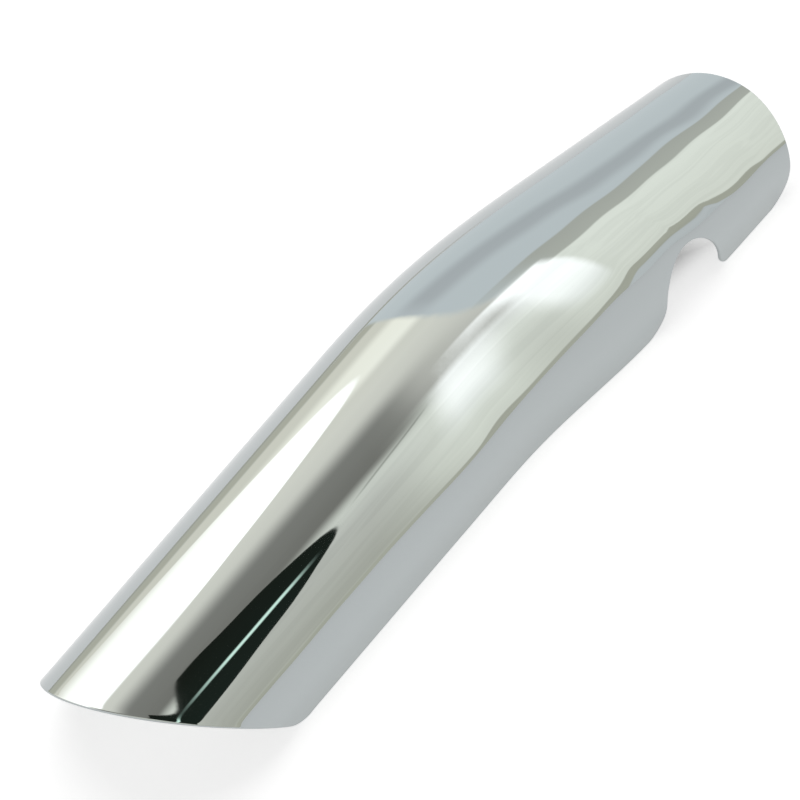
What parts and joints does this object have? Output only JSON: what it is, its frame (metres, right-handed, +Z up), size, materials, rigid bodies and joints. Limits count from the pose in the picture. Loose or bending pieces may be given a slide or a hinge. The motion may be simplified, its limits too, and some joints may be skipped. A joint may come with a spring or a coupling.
{
  "type": "exhaust heat shield",
  "caption": "Chrome half-shell heat shield for an exhaust pipe, bent and tapering, with a slash-cut end, a notched edge and welded inner bridges for clamp bands.",
  "frame": {"origin": "middle of the base that the two long edges stand on", "axes": "+X along the length towards the narrow end, +Y towards the far long edge, +Z up through the crown"},
  "size_m": [0.2982, 0.0714, 0.0357],
  "materials": {
    "chrome_shell": "bright chrome plate on pressed steel",
    "bridge_steel": "plain bent steel strip, dull plated"
  },
  "bodies": {
    "root": {"shield_shell": "chrome_shell", "wide_clamp_bridge": "bridge_steel", "narrow_clamp_bridge": "bridge_steel"}
  },
  "joints": []
}
